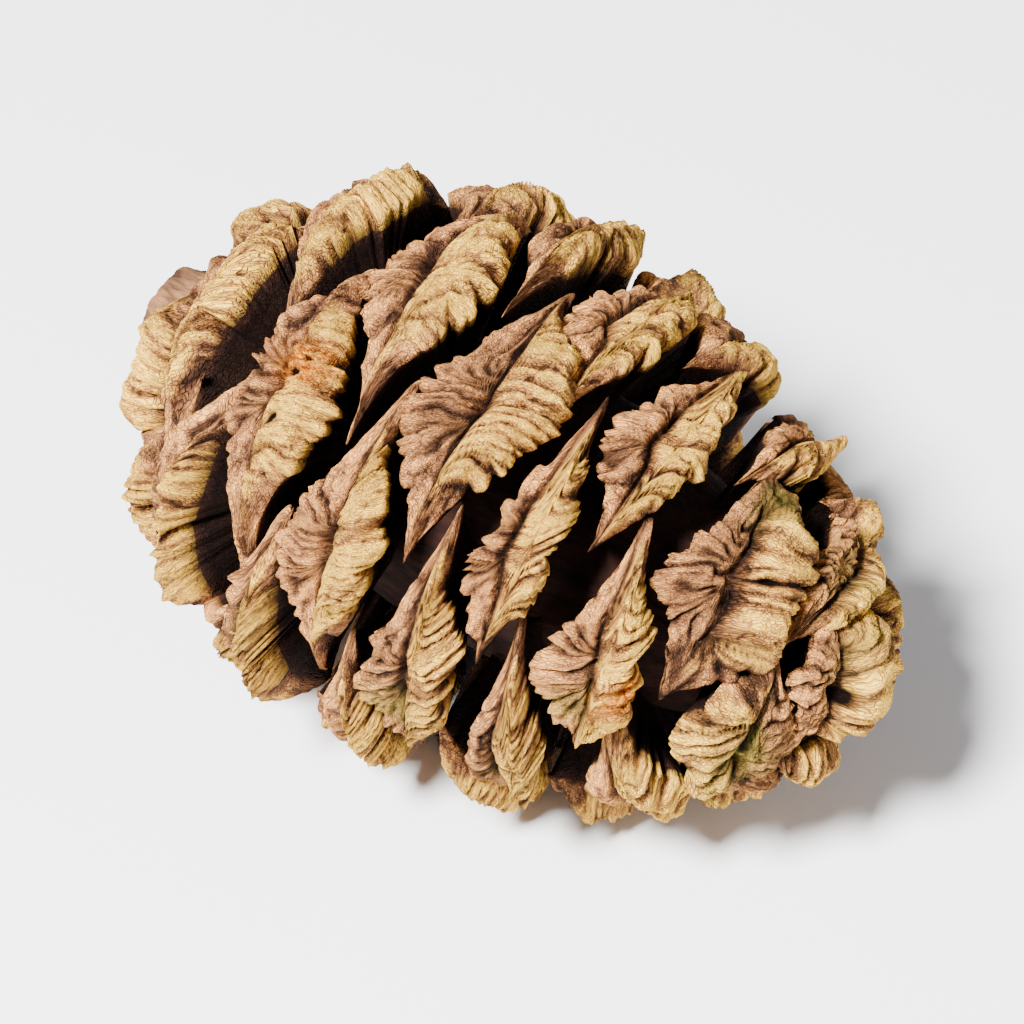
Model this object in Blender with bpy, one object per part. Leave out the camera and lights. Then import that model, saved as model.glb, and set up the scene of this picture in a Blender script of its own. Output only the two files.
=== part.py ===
"""A giant sequoia cone, open and dry, lying on its side.

The cone grew as one piece, so it is one solid: a woody core, thick wedge-shaped scales that grow from it in a
spiral, and the short cut end of its stalk. Each scale has a wide rhombic head with a groove across it between
two lips. The cone's own frame has +X from stalk to tip and its middle at zero; place_on_surface lays it down.
"""

import math

import bmesh
import bpy
import numpy as np
from mathutils import Matrix

MM = 0.001

# The egg shape that the scale heads lie on
HALF_LENGTH = 28.3 * MM
HALF_WIDTH = 19.4 * MM
EGG = 0.165

# How the cone lies: its tip end dips, and it rests this far below its middle
TIP_DIP = math.radians(6.0)
REST_HEIGHT = 19.0 * MM

# The spiral of scales, counted from the stalk
SCALE_COUNT = 49
TURN = math.radians(-100.05)
FIRST_ANGLE = math.radians(164.65)
FIRST_PLACE = -1.27
PLACES = 47.42
TIP_CROWDING = 0.369
STALK_CROWDING = 1.2

# A scale's head is this many times as wide as it is high: in the middle, by the stalk and by the tip
WIDE_MIDDLE = 1.9
WIDE_STALK = 1.45
WIDE_TIP = 1.35
WIDE_REACH = 0.10

# The outline of a head: a lens with two drawn-out points, drawn in from the borders with its neighbours
GAP = 0.25 * MM
SIDE_SHARPNESS = 6.0
POINT_SHARPNESS = 12.0
END_SHARPNESS = 9.0
POINT_REACH = 1.35
POINT_REACH_POWER = 6
POINT_STRETCH = 0.12
UPPER_GAP = 0.20
LOWER_GAP = 0.12
PINCH = 0.44
LOWER_PINCH = 0.32
PINCH_START = 0.25
PINCH_END = 0.90
RIDGE_DEPTH = 0.03
OUTLINE_POINTS = 16
OUTLINE_POINTS_SMALL = 12
ROUND_AT_ENDS = 0.8
SMALL_HEAD = 8.5 * MM
TRIAL_POINTS = 180

# The relief of a head, above the egg shape
UPPER_LIP = 1.4 * MM
LOWER_LIP = 0.5 * MM
LIP_PLACE = 0.50
LIP_WIDTH = 0.30
GROOVE = 0.8 * MM
GROOVE_PLACE = -0.08
GROOVE_WIDTH = 0.12
HEAD_SLOPE = 0.3 * MM
MARGIN_DROP = 1.1 * MM
MARGIN_POWER = 7
TIP_DROP = 0.5 * MM
RIDGE_HEIGHT = 0.16 * MM
GROOVE_RING = 0.24
HEAD_RINGS = (0.58, 0.88)

# The wedge under a head, as (share of the outline, depth as a share of the distance to the axis)
WEDGE_RINGS = ((1.0, 0.075), (0.84, 0.26))
ROOT_RING = (0.50, 0.60)

# Each scale differs a little from the next
SEED = 7
SIZE_SPREAD = 0.035
LIP_SPREAD = 0.30
UPPER_REACHES = (0.62, 0.96)
TAPERS = (0.10, 0.45)
LOWER_REACHES = (0.88, 1.02)
TAPER_START = 0.25
TAPER_END = -0.65

# Heads with a size of their own: reach to the tip, how much less of it at the left point, reach to the stalk
HEAD_SIZES = {
    8: (0.60, 0.10, 1.10),
    9: (0.75, 0.20, 1.00),
    12: (1.00, 0.00, 1.12),
    15: (0.50, 0.10, 1.00),
    16: (0.75, 0.15, 1.00),
    19: (1.00, 0.80, 1.00),
    20: (0.45, 0.10, 0.80),
    22: (0.60, 0.10, 1.00),
    23: (1.14, -0.30, 1.00),
    26: (1.02, 0.50, 1.00),
    27: (0.62, 0.10, 1.00),
    30: (0.64, 0.30, 0.96),
    33: (0.45, 0.15, 1.00),
    34: (0.64, 0.15, 0.96),
    37: (0.88, 0.30, 1.00),
    38: (0.58, 0.15, 1.00),
    41: (1.55, -0.30, 0.92),
    44: (1.55, 0.00, 0.95),
    45: (1.20, 0.00, 0.32),
    48: (1.15, 0.00, 0.62),
}

# The woody core, and the stalk as (place along the axis, radius); its foot widens between the first scales
CORE_HALF_LENGTH = 22.5 * MM
CORE_RADIUS = 10.2 * MM
CORE_SIDES = 12
CORE_RINGS = 8
STALK_RADIUS = 3.5 * MM
STALK_SIDES = 14
STALK_PROFILE = (
    (-17.0 * MM, 9.6 * MM),
    (-23.6 * MM, 8.2 * MM),
    (-26.4 * MM, 5.4 * MM),
    (-27.6 * MM, 3.8 * MM),
    (-30.4 * MM, STALK_RADIUS),
    (-30.9 * MM, 3.1 * MM),
    (-31.1 * MM, 2.2 * MM),
)

CUTTER_SIZE = 0.1
AREA_STEPS = 2000
RAY_STEPS = 6

COLOUR = (0.42, 0.27, 0.15, 1.0)
ROUGHNESS = 0.85


def clear_scene():
    """Remove whatever the scene holds."""
    for obj in list(bpy.data.objects):
        bpy.data.objects.remove(obj, do_unlink=True)


def egg_radius_squared(x):
    """Square of the egg's radius at x, and its slope along x."""
    t = x / HALF_LENGTH
    narrowing = 1 - EGG * t
    squared = HALF_WIDTH**2 * (1 - t * t) * narrowing**2
    slope = -2 * HALF_WIDTH**2 / HALF_LENGTH * narrowing * (t * narrowing + EGG * (1 - t * t))
    return squared, slope


def smooth_step(low, high, value):
    """Rise smoothly from 0 at low to 1 at high."""
    share = np.clip((value - low) / (high - low), 0, 1)
    return share * share * (3 - 2 * share)


def radial(angle):
    """Unit vector away from the axis, with zero straight up and positive towards -Y."""
    return np.array([0.0, -math.sin(angle), math.cos(angle)])


def scale_places():
    """Place along the axis of each scale, from the share of the egg's surface below it."""
    x = np.linspace(-HALF_LENGTH, HALF_LENGTH, AREA_STEPS)
    radius = np.sqrt(np.maximum(egg_radius_squared(x)[0], 0))
    strips = (radius[1:] + radius[:-1]) * np.hypot(np.diff(x), np.diff(radius))
    below = np.concatenate([[0], np.cumsum(strips)]) / strips.sum()
    count = np.arange(SCALE_COUNT) + FIRST_PLACE
    share = STALK_CROWDING * np.log1p(np.exp(count / STALK_CROWDING)) / PLACES
    share += TIP_CROWDING * share * (1 - share)
    return np.interp(share, below, x), share


class Scale:
    """One scale: its own round patch of the egg, with an across and an up direction."""

    def __init__(self, number, x, share, draw):
        self.angle = FIRST_ANGLE + TURN * number
        squared, slope = egg_radius_squared(x)
        out = radial(self.angle)
        self.middle = np.array([x, 0, 0]) + math.sqrt(squared) * out
        self.hub = np.array([x + slope / 2, 0, 0])
        self.radius = np.linalg.norm(self.middle - self.hub)
        self.normal = (self.middle - self.hub) / self.radius
        self.across = np.array([0.0, -math.cos(self.angle), -math.sin(self.angle)])
        self.up = np.cross(self.normal, self.across)
        near_stalk = math.exp(-share / WIDE_REACH)
        near_tip = math.exp(-(1 - share) / WIDE_REACH)
        self.lens = 1 - ROUND_AT_ENDS * max(near_stalk, near_tip)
        self.wide = WIDE_MIDDLE
        self.wide += (WIDE_STALK - WIDE_MIDDLE) * near_stalk + (WIDE_TIP - WIDE_MIDDLE) * near_tip
        self.size = draw.normal(1.0, SIZE_SPREAD)
        self.upper_lip = UPPER_LIP * draw.uniform(1 - LIP_SPREAD, 1 + LIP_SPREAD)
        self.lower_lip = LOWER_LIP * draw.uniform(1 - LIP_SPREAD, 1 + LIP_SPREAD)
        drawn = (draw.uniform(*UPPER_REACHES), draw.uniform(*TAPERS), draw.uniform(*LOWER_REACHES))
        self.upper_reach, self.taper, self.lower_reach = HEAD_SIZES.get(number, drawn)

    def flat_place(self, point):
        """Where a point of the egg lies on this scale's patch, unrolled flat."""
        ray = (point - self.hub) / np.linalg.norm(point - self.hub)
        turned = math.acos(max(-1.0, min(1.0, float(ray @ self.normal))))
        sideways = np.array([ray @ self.across, ray @ self.up])
        return sideways * self.radius * turned / max(np.linalg.norm(sideways), 1e-9)

    def find_neighbours(self, scales, areas, own):
        """Direction of each neighbour, and how far off the border with it lies."""
        found = []
        for number, other in enumerate(scales):
            if number == own or other.middle @ self.normal < self.hub @ self.normal:
                continue
            x, y = self.flat_place(other.middle)
            distance = math.hypot(x, self.wide * y)
            direction = math.atan2(self.wide * y, x)
            border = distance * math.sqrt(areas[own]) / (math.sqrt(areas[own]) + math.sqrt(areas[number]))
            border *= 1 + (POINT_REACH - 1) * abs(math.cos(direction)) ** POINT_REACH_POWER
            border -= GAP * math.hypot(math.cos(direction), self.wide * math.sin(direction))
            found.append((direction, border * self.size))
        self.directions = np.array([direction for direction, _ in found])
        self.borders = np.array([border for _, border in found])
        trial = np.linspace(-math.pi, math.pi, TRIAL_POINTS)
        sideways = self.edge(trial)[0]
        self.right_point = trial[sideways.argmax()]
        self.left_point = trial[sideways.argmin()] % (2 * math.pi)
        self.lean = (self.right_point + self.left_point - math.pi) / 2
        self.small = sideways.max() - sideways.min() < 2 * SMALL_HEAD

    def edge(self, angle):
        """Flat places of the head's edge in each direction, with its height stretched to its width."""
        facing = np.maximum(np.cos(angle[:, None] - self.directions), 0) / self.borders
        sharpness = SIDE_SHARPNESS + END_SHARPNESS * (1 - self.lens) + POINT_SHARPNESS * np.cos(angle) ** 4
        reach = (facing ** sharpness[:, None]).sum(axis=1) ** (-1 / sharpness)
        x, y = reach * np.cos(angle), reach * np.sin(angle) / self.wide
        along = np.minimum(np.abs(x) / reach.max(), 1)
        pinch = smooth_step(PINCH_START, PINCH_END, along)
        upper = self.upper_reach * (1 - self.lens * (UPPER_GAP + PINCH * pinch))
        upper = upper * (1 - self.taper * smooth_step(TAPER_START, TAPER_END, x / reach.max()))
        lower = self.lower_reach * (1 - self.lens * (LOWER_GAP + LOWER_PINCH * pinch))
        return x * (1 + self.lens * POINT_STRETCH * along**3), y * np.where(y > 0, upper, lower)

    def outline_angles(self):
        """Directions to the edge points, so that two of them are the head's drawn-out points."""
        half = (OUTLINE_POINTS_SMALL if self.small else OUTLINE_POINTS) // 2
        step = np.arange(half) / half
        upper = self.right_point + (self.left_point - self.right_point) * step
        lower = self.left_point + (self.right_point + 2 * math.pi - self.left_point) * step
        return np.concatenate([upper, lower])

    def relief(self, share, angle):
        """Height of the head's surface, from share 0 in its middle to share 1 at its edge."""
        height = share * np.sin(angle - self.lean)
        along = share * np.cos(angle - self.lean)
        middle = 1 - along**2
        upper = self.upper_lip * np.exp(-(((height - LIP_PLACE) / LIP_WIDTH) ** 2))
        lower = self.lower_lip * np.exp(-(((height + LIP_PLACE) / LIP_WIDTH) ** 2))
        groove = GROOVE * np.exp(-(((height - GROOVE_PLACE) / GROOVE_WIDTH) ** 2))
        edge = MARGIN_DROP * share**MARGIN_POWER + TIP_DROP * along**4
        return middle * (upper + lower - groove) + HEAD_SLOPE * height - edge

    def on_egg(self, x, y):
        """Points of the egg from flat places on the patch, as the ray from the hub and its length."""
        reach = np.hypot(x, y)
        turned = reach / self.radius
        side = np.where(reach > 0, np.sin(turned) / np.maximum(reach, 1e-9), 0)
        ray = np.cos(turned)[:, None] * self.normal
        ray = ray + (side * x)[:, None] * self.across + (side * y)[:, None] * self.up
        length = np.full(len(ray), self.radius)
        for _ in range(RAY_STEPS):
            point = self.hub + length[:, None] * ray
            squared, slope = egg_radius_squared(point[:, 0])
            error = point[:, 1] ** 2 + point[:, 2] ** 2 - squared
            change = 2 * (point[:, 1] * ray[:, 1] + point[:, 2] * ray[:, 2]) - slope * ray[:, 0]
            length = length - error / change
        return ray, length

    def head_ring(self, share, angle, x, y, ridge):
        """Points of the head's surface at a share of the way to its edge."""
        ray, length = self.on_egg(share * x, share * y)
        height = self.relief(share, angle) + RIDGE_HEIGHT * ridge * share
        return self.hub + (length + height)[:, None] * ray

    def wedge_ring(self, share, depth, x, y):
        """Points of the wedge under the head."""
        ray, length = self.on_egg(share * x, share * y)
        return self.hub + (length * (1 - depth))[:, None] * ray

    def rings(self):
        """The scale's rings of points, from its middle down to its root; the first and last are sparse."""
        angle = self.outline_angles()
        ridge = np.where(np.arange(len(angle)) % 2 == 0, 1.0, -1.0)
        x, y = self.edge(angle) * (1 + RIDGE_DEPTH * ridge)
        rings = [self.head_ring(share, angle, x, y, ridge) for share in HEAD_RINGS]
        rings += [self.wedge_ring(share, depth, x, y) for share, depth in WEDGE_RINGS]
        groove = self.head_ring(GROOVE_RING, angle[::2], x[::2], y[::2], ridge[::2])
        root = self.wedge_ring(*ROOT_RING, x[::2], y[::2])
        centre = self.head_ring(0.0, np.zeros(1), np.zeros(1), np.zeros(1), np.zeros(1))
        return [centre, groove, *rings, root]


def new_object(name, bm, material):
    """Turn bm into a named object in the scene."""
    bmesh.ops.recalc_face_normals(bm, faces=bm.faces)
    mesh = bpy.data.meshes.new(name)
    bm.to_mesh(mesh)
    bm.free()
    mesh.materials.append(material)
    obj = bpy.data.objects.new(name, mesh)
    bpy.context.scene.collection.objects.link(obj)
    return obj


def band(bm, first, second):
    """Close the band between two rings, of which one may have half as many points as the other."""
    if len(first) == len(second):
        for i in range(len(first)):
            j = (i + 1) % len(first)
            bm.faces.new((first[i], second[i], second[j], first[j]))
        return
    dense, sparse = (first, second) if len(first) > len(second) else (second, first)
    for i in range(len(sparse)):
        j = (i + 1) % len(sparse)
        before, between, after = dense[2 * i], dense[2 * i + 1], dense[(2 * i + 2) % len(dense)]
        bm.faces.new((sparse[i], before, between))
        bm.faces.new((sparse[i], between, sparse[j]))
        bm.faces.new((sparse[j], between, after))


def make_scale(name, scale, material):
    """A closed solid: a fan in the head's middle, bands down to the root, and the root's end."""
    bm = bmesh.new()
    rows = [[bm.verts.new(point) for point in ring] for ring in scale.rings()]
    (middle,), groove, root = rows[0], rows[1], rows[-1]
    for i in range(len(groove)):
        bm.faces.new((middle, groove[i], groove[(i + 1) % len(groove)]))
    for first, second in zip(rows[1:], rows[2:]):
        band(bm, first, second)
    bm.faces.new(root)
    bmesh.ops.triangulate(bm, faces=bm.faces)
    return new_object(name, bm, material)


def make_core(material):
    """The woody middle that the scales grow from."""
    bm = bmesh.new()
    shape = Matrix.Diagonal((CORE_RADIUS, CORE_RADIUS, CORE_HALF_LENGTH, 1.0))
    turned = Matrix.Rotation(math.pi / 2, 4, "Y") @ shape
    bmesh.ops.create_uvsphere(bm, u_segments=CORE_SIDES, v_segments=CORE_RINGS, radius=1.0, matrix=turned)
    return new_object("core", bm, material)


def make_stalk(material):
    """The cut end of the stalk, a turned form whose outer end is slightly domed."""
    bm = bmesh.new()
    rows = []
    for x, radius in STALK_PROFILE:
        angles = [2 * math.pi * i / STALK_SIDES for i in range(STALK_SIDES)]
        rows.append([bm.verts.new((x, radius * math.sin(a), radius * math.cos(a))) for a in angles])
    for inner, outer in zip(rows, rows[1:]):
        for i in range(STALK_SIDES):
            j = (i + 1) % STALK_SIDES
            bm.faces.new((inner[i], inner[j], outer[j], outer[i]))
    bm.faces.new(rows[0])
    bm.faces.new(rows[-1])
    return new_object("stalk", bm, material)


def join(obj, operation, others, solver):
    """Apply one Boolean of obj with a collection of objects, then remove them."""
    group = bpy.data.collections.new("joined")
    bpy.context.scene.collection.children.link(group)
    for other in others:
        group.objects.link(other)
    modifier = obj.modifiers.new(operation.lower(), "BOOLEAN")
    modifier.operation = operation
    modifier.solver = solver
    modifier.operand_type = "COLLECTION"
    modifier.collection = group
    bpy.context.view_layer.objects.active = obj
    bpy.ops.object.modifier_apply(modifier=modifier.name)
    for other in others:
        bpy.data.objects.remove(other, do_unlink=True)
    bpy.data.collections.remove(group)


def place_on_surface(obj, material):
    """Lay the cone down, cut the flat spots that it rests on, and put its origin under its middle."""
    obj.data.transform(Matrix.Translation((0, 0, REST_HEIGHT)) @ Matrix.Rotation(TIP_DIP, 4, "Y"))
    bm = bmesh.new()
    below = Matrix.Translation((0, 0, -CUTTER_SIZE / 2))
    bmesh.ops.create_cube(bm, size=CUTTER_SIZE, matrix=below)
    join(obj, "DIFFERENCE", [new_object("surface", bm, material)], "MANIFOLD")
    corners = np.array([vertex.co for vertex in obj.data.vertices])
    middle = (corners.min(axis=0) + corners.max(axis=0)) / 2
    obj.data.transform(Matrix.Translation((-middle[0], -middle[1], 0)))


def bark_material():
    """Dry woody scales."""
    material = bpy.data.materials.new("dry_cone_scales")
    material.use_nodes = True
    shader = material.node_tree.nodes["Principled BSDF"]
    shader.inputs["Base Color"].default_value = COLOUR
    shader.inputs["Roughness"].default_value = ROUGHNESS
    shader.inputs["Metallic"].default_value = 0.0
    return material


def make_scales(material):
    """All the scales in their spiral, each as its own closed solid."""
    draw = np.random.default_rng(SEED)
    places, shares = scale_places()
    scales = [Scale(i, places[i], shares[i], draw) for i in range(SCALE_COUNT)]
    areas = np.gradient(shares)
    for number, scale in enumerate(scales):
        scale.find_neighbours(scales, areas, number)
    return [make_scale(f"scale_{i:02d}", scale, material) for i, scale in enumerate(scales)]


def main():
    clear_scene()
    material = bark_material()
    cone = make_core(material)
    cone.name = "cone"
    join(cone, "UNION", [make_stalk(material), *make_scales(material)], "MANIFOLD")
    place_on_surface(cone, material)


main()
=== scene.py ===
"""A giant sequoia cone, open and dry, lying on its side on a pale floor.

The cone is a spiral of thick woody scales on an egg shape. Each scale has a wide head with two drawn-out
points. A groove runs from point to point. The half towards the tip swells into a puffy, pale, wrinkled lip,
and the half towards the stalk is flatter and browner, with a ragged edge. The sides of the scales go down
into dark gaps. The cone's own frame has +X from stalk to tip and its middle at zero; Placement lays it down.
"""

import logging
import math
from dataclasses import dataclass, field
from enum import Enum

import bpy
import numpy as np
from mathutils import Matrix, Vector

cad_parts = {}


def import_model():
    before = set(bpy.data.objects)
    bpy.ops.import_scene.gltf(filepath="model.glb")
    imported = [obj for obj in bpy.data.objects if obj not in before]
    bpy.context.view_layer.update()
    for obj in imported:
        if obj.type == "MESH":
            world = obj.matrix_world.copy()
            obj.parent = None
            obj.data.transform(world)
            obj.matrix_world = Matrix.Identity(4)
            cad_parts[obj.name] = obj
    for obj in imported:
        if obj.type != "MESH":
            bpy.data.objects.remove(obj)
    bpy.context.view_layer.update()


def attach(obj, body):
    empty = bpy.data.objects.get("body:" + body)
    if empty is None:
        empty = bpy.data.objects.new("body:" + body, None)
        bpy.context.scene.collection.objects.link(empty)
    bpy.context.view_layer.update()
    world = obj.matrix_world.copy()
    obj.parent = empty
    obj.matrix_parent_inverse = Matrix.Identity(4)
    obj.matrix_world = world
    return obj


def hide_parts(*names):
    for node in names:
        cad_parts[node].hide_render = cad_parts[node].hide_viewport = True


MM = 0.001
CAD_NODE = "cone"
CAD_BODY = "root"

Array = np.ndarray
Faces = list[tuple[int, ...]]
Material = bpy.types.Material
Socket = bpy.types.NodeSocket

log = logging.getLogger("sequoia_cone")


class Layer(str, Enum):
    """Names of the values that a scale's mesh carries for its finish."""

    LIP = "lip"
    CREST_SHADE = "crest"
    DEPTH = "depth"
    TONE = "tone"
    MOSS = "moss"
    RESIN = "resin"
    PIT = "pit"
    GRAIN = "grain"


class MarkKind(Enum):
    """What a scale can carry besides its own wrinkles."""

    MOSS = "moss"
    RESIN = "resin"
    PIT = "pit"


class Sheet(float, Enum):
    """Sheets of the noise, one for each form that it shapes."""

    LIP = 0.25
    LOW = 1.75
    LIP_END = 2.0
    GROOVE = 2.5
    LUMPS = 3.0
    LOBES = 3.25
    SMALL_LUMPS = 3.5
    FRAY = 4.0
    BITE = 4.5
    RESIN = 5.0
    SIDE = 6.0
    KNOBS = 7.0
    GRIT = 7.5
    WANDER = 8.0
    SMALL_WANDER = 8.5
    OWN = 9.0
    CORE = 700.0
    BARK = 800.0
    FINE_BARK = 801.0


@dataclass(frozen=True)
class Mark:
    """A spot of moss, resin or a near-black pit on one scale's head.

    Attributes:
        scale: number of the scale, counted from the stalk.
        kind: what the spot is.
        along: place from -1 to 1 between the head's two points.
        height: place from -1 at the edge towards the stalk to 1 at the edge towards the tip.
        radius: size of the spot in metres.
        strength: from 0, hardly there, to 1.
    """

    scale: int
    kind: MarkKind
    along: float
    height: float
    radius: float
    strength: float = 1.0


MARKS = (
    Mark(12, MarkKind.RESIN, -0.20, 0.34, 2.1 * MM),
    Mark(12, MarkKind.PIT, -0.12, 0.20, 0.60 * MM),
    Mark(12, MarkKind.PIT, -0.24, 0.42, 0.40 * MM, 0.8),
    Mark(12, MarkKind.PIT, 0.28, 0.22, 0.65 * MM),
    Mark(37, MarkKind.RESIN, 0.34, 0.48, 1.5 * MM, 0.95),
    Mark(37, MarkKind.RESIN, 0.20, 0.55, 1.1 * MM, 0.8),
    Mark(37, MarkKind.MOSS, 0.45, -0.45, 2.4 * MM, 0.7),
    Mark(41, MarkKind.PIT, 0.02, 0.42, 0.60 * MM),
    Mark(41, MarkKind.MOSS, -0.60, 0.35, 2.2 * MM, 0.55),
    Mark(44, MarkKind.MOSS, 0.10, 0.05, 2.2 * MM, 0.9),
    Mark(44, MarkKind.MOSS, 0.0, 0.25, 4.2 * MM, 0.4),
    Mark(45, MarkKind.MOSS, 0.1, 0.4, 2.8 * MM, 0.5),
    Mark(45, MarkKind.PIT, -0.3, 0.35, 0.40 * MM),
    Mark(48, MarkKind.PIT, 0.1, 0.2, 0.60 * MM),
    Mark(48, MarkKind.MOSS, -0.3, 0.4, 2.4 * MM, 0.35),
    Mark(26, MarkKind.MOSS, 0.35, -0.5, 2.6 * MM, 0.7),
    Mark(33, MarkKind.MOSS, 0.2, 0.3, 2.4 * MM, 0.4),
    Mark(23, MarkKind.PIT, -0.30, 0.50, 0.35 * MM, 0.7),
    Mark(15, MarkKind.MOSS, -0.3, 0.3, 2.6 * MM, 0.3),
)


def smooth_step(low: float, high: float, value: Array) -> Array:
    """Rise smoothly from 0 at low to 1 at high.

    Args:
        low: value that gives 0.
        high: value that gives 1; it may be less than low.
        value: what is measured.

    Returns:
        The share, with the shape of value.
    """
    share = np.clip((value - low) / (high - low), 0, 1)
    return share * share * (3 - 2 * share)


class SmoothNoise:
    """Smooth random values between -1 and 1 over space, the same at every run."""

    TABLE = 4096

    def __init__(self, seed: int) -> None:
        draw = np.random.default_rng(seed)
        self.values = draw.uniform(-1, 1, self.TABLE)
        self.order = draw.permutation(self.TABLE)

    def at(self, x: Array, y: Array, z: float = 0.0) -> Array:
        """Read the noise.

        Args:
            x: first coordinates, in cells.
            y: second coordinates, in cells.
            z: one value that picks another sheet of noise.

        Returns:
            A value from -1 to 1 for each place.
        """
        x, y = np.broadcast_arrays(x, y)
        cell_x, cell_y = np.floor(x).astype(int), np.floor(y).astype(int)
        part_x, part_y = x - cell_x, y - cell_y
        part_x = part_x**3 * (part_x * (part_x * 6 - 15) + 10)
        part_y = part_y**3 * (part_y * (part_y * 6 - 15) + 10)
        last = self.TABLE - 1
        sheet = self.order[int(round(z * 16)) & last]
        total = np.zeros(x.shape)
        for step_x, weight_x in ((0, 1 - part_x), (1, part_x)):
            row = self.order[(cell_x + step_x + sheet) & last]
            for step_y, weight_y in ((0, 1 - part_y), (1, part_y)):
                total += weight_x * weight_y * self.values[self.order[(row + cell_y + step_y) & last]]
        return total


@dataclass(frozen=True)
class Egg:
    """The egg shape that the scale heads lie on, narrower towards the tip."""

    half_length: float = 28.3 * MM
    half_width: float = 19.4 * MM
    narrowing: float = 0.165
    area_steps: int = 2000

    def radius_squared(self, x: Array) -> tuple[Array, Array]:
        """Square of the egg's radius at x, and its slope along x."""
        t = x / self.half_length
        narrow = 1 - self.narrowing * t
        squared = self.half_width**2 * (1 - t * t) * narrow**2
        steepness = t * narrow + self.narrowing * (1 - t * t)
        return squared, -2 * self.half_width**2 / self.half_length * narrow * steepness


@dataclass(frozen=True)
class Spiral:
    """How the scales follow each other round the cone, counted from the stalk."""

    count: int = 49
    turn: float = math.radians(-100.05)
    first_angle: float = math.radians(164.65)
    first_place: float = -1.27
    places: float = 47.42
    tip_crowding: float = 0.369
    stalk_crowding: float = 1.2

    def along(self, egg: Egg) -> tuple[Array, Array]:
        """Place of each scale along the axis.

        Args:
            egg: the shape that the scales share out.

        Returns:
            Each scale's x, and the share of the egg's surface below it.
        """
        x = np.linspace(-egg.half_length, egg.half_length, egg.area_steps)
        radius = np.sqrt(np.maximum(egg.radius_squared(x)[0], 0))
        strips = (radius[1:] + radius[:-1]) * np.hypot(np.diff(x), np.diff(radius))
        below = np.concatenate([[0], np.cumsum(strips)]) / strips.sum()
        number = np.arange(self.count) + self.first_place
        share = self.stalk_crowding * np.log1p(np.exp(number / self.stalk_crowding)) / self.places
        share += self.tip_crowding * share * (1 - share)
        return np.interp(share, below, x), share


@dataclass(frozen=True)
class Placement:
    """How the cone lies: its tip end dips, and it touches the floor below its middle."""

    dip: float = math.radians(6.0)
    height: float = 19.0 * MM
    shift_x: float = 0.566 * MM
    shift_y: float = 0.036 * MM

    def lay_down(self, points: Array) -> Array:
        """Move points from the cone's own frame to the floor, flattened where they would go through it."""
        x = points[:, 0] * math.cos(self.dip) + points[:, 2] * math.sin(self.dip) + self.shift_x
        z = points[:, 2] * math.cos(self.dip) - points[:, 0] * math.sin(self.dip) + self.height
        return np.column_stack([x, points[:, 1] + self.shift_y, np.maximum(z, 0)])


@dataclass(frozen=True)
class HeadSize:
    """How far one head reaches, next to an even share of the cone.

    Attributes:
        upper: reach towards the tip.
        taper: how much less the upper half reaches at the end with negative along.
        lower: reach towards the stalk.
        swing: how far the head sits round the axis from its place in the spiral, in degrees.
        shift: how far it sits towards the tip from that place, in metres.
        spin: how far it is turned on its own middle, in degrees.
        grow: times its size in every direction.
    """

    upper: float
    taper: float
    lower: float
    swing: float = 0.0
    shift: float = 0.0
    spin: float = 0.0
    grow: float = 1.0


HEAD_SIZES = {
    5: HeadSize(0.32, 0.10, 0.90, swing=5.0),
    8: HeadSize(0.26, 0.00, 0.90, swing=6.0),
    9: HeadSize(0.40, 0.20, 0.80, shift=-1.2 * MM),
    12: HeadSize(1.00, 0.00, 0.98, swing=-4.0, spin=3.0),
    15: HeadSize(0.28, 0.10, 0.90),
    16: HeadSize(0.75, 0.05, 1.00, swing=-2.0),
    19: HeadSize(1.00, 0.80, 0.92),
    20: HeadSize(0.45, 0.10, 0.80),
    22: HeadSize(0.50, 0.10, 1.00),
    23: HeadSize(1.16, -0.45, 1.00),
    26: HeadSize(1.02, 0.50, 1.00),
    27: HeadSize(0.62, 0.10, 1.00),
    30: HeadSize(0.64, 0.30, 0.96),
    33: HeadSize(0.45, 0.15, 1.00),
    34: HeadSize(0.64, 0.15, 0.96),
    37: HeadSize(0.88, 0.30, 1.00),
    38: HeadSize(0.60, 0.15, 0.70, shift=1.0 * MM, grow=0.80),
    41: HeadSize(1.50, -0.42, 0.92),
    44: HeadSize(1.12, 0.00, 1.30, swing=17.0, shift=1.8 * MM, spin=150.0, grow=1.08),
    45: HeadSize(1.15, 0.00, 0.40, spin=25.0),
    48: HeadSize(0.95, 0.00, 0.62, spin=14.0),
}


@dataclass(frozen=True)
class HeadShape:
    """What all the heads have in common; lengths are in metres and the rest are shares of a head."""

    wide_middle: float = 1.9
    wide_stalk: float = 1.45
    wide_tip: float = 1.35
    wide_reach: float = 0.10
    round_at_ends: float = 0.8
    gap: float = 0.25 * MM
    side_sharpness: float = 6.0
    point_sharpness: float = 12.0
    end_sharpness: float = 9.0
    point_reach: float = 1.35
    point_reach_power: int = 6
    point_stretch: float = 0.12
    upper_gap: float = 0.22
    lower_gap: float = 0.14
    pinch: float = 0.50
    lower_pinch: float = 0.38
    pinch_start: float = 0.25
    pinch_end: float = 0.90
    size_spread: float = 0.035
    lip_spread: float = 0.30
    upper_lip: float = 1.4 * MM
    lower_lip: float = 0.5 * MM
    taper_start: float = 0.25
    taper_end: float = -0.65
    upper_range: tuple[float, float] = (0.62, 0.96)
    taper_range: tuple[float, float] = (0.10, 0.45)
    lower_range: tuple[float, float] = (0.88, 1.02)


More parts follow.
